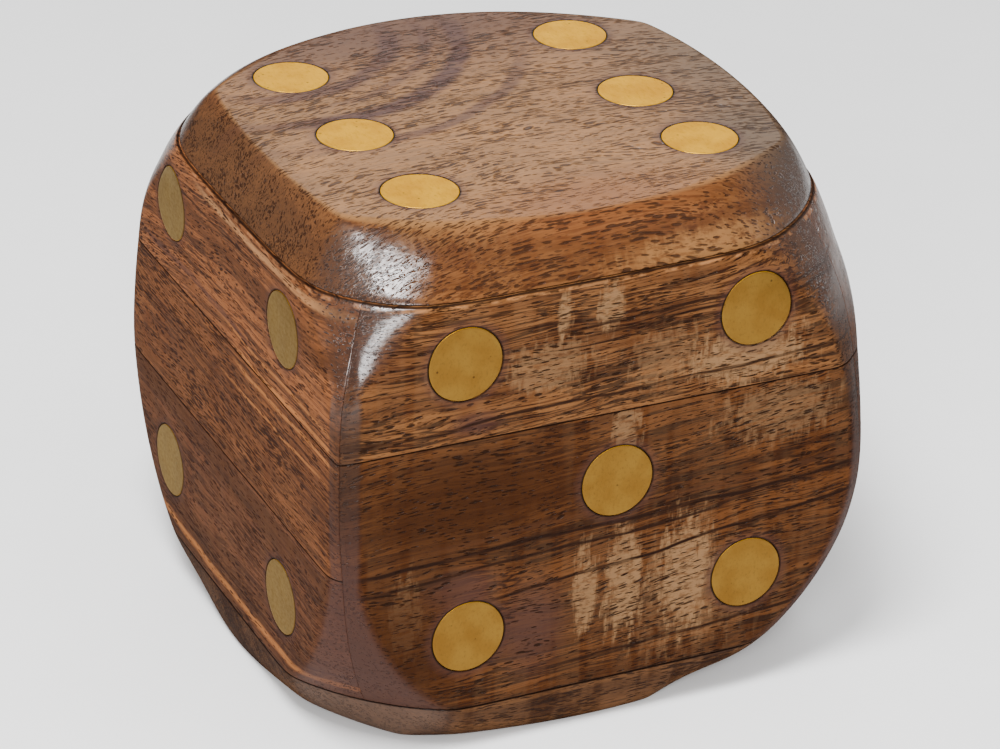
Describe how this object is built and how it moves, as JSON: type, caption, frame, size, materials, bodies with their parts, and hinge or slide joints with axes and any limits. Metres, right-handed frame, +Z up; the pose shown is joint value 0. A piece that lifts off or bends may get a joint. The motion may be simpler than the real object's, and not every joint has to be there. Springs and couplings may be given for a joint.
{
  "type": "dice box",
  "caption": "Hollow wooden box in the shape of a large rounded die, with brass pips let in flush and a lift-off lid that covers a square cavity for small dice.",
  "frame": {"origin": "middle of the base's underside, on the surface that the box stands on", "axes": "+Z up, towards the lid with six pips; -Y towards the front, with five pips; -X towards the side with four pips"},
  "size_m": [0.09, 0.0892, 0.085],
  "materials": {
    "lid_wood": "gloss",
    "front_wood": "gloss",
    "side_wood": "gloss",
    "base_wood": "gloss",
    "plug_wood": "matte",
    "brass": "satin"
  },
  "bodies": {
    "box": {"base_board": "base_wood", "front_lower_board": "front_wood", "front_upper_board": "front_wood", "back_lower_board": "front_wood", "back_upper_board": "front_wood", "left_lower_board": "side_wood", "left_middle_board": "side_wood", "left_upper_board": "side_wood", "right_lower_board": "side_wood", "right_middle_board": "side_wood", "right_upper_board": "side_wood", "bottom_pip": "brass", "front_pip_1": "brass", "front_pip_2": "brass", "front_pip_3": "brass", "front_pip_4": "brass", "front_pip_5": "brass", "back_pip_1": "brass", "back_pip_2": "brass", "left_pip_1": "brass", "left_pip_2": "brass", "left_pip_3": "brass", "left_pip_4": "brass", "right_pip_1": "brass", "right_pip_2": "brass", "right_pip_3": "brass"},
    "lid": {"lid_board": "lid_wood", "lid_plug": "plug_wood", "top_pip_1": "brass", "top_pip_2": "brass", "top_pip_3": "brass", "top_pip_4": "brass", "top_pip_5": "brass", "top_pip_6": "brass"}
  },
  "joints": [
    {"name": "lid_lift", "type": "slide", "parent": "box", "child": "lid", "axis": [0, 0, 1], "range_m": [0, 0.1]}
  ]
}
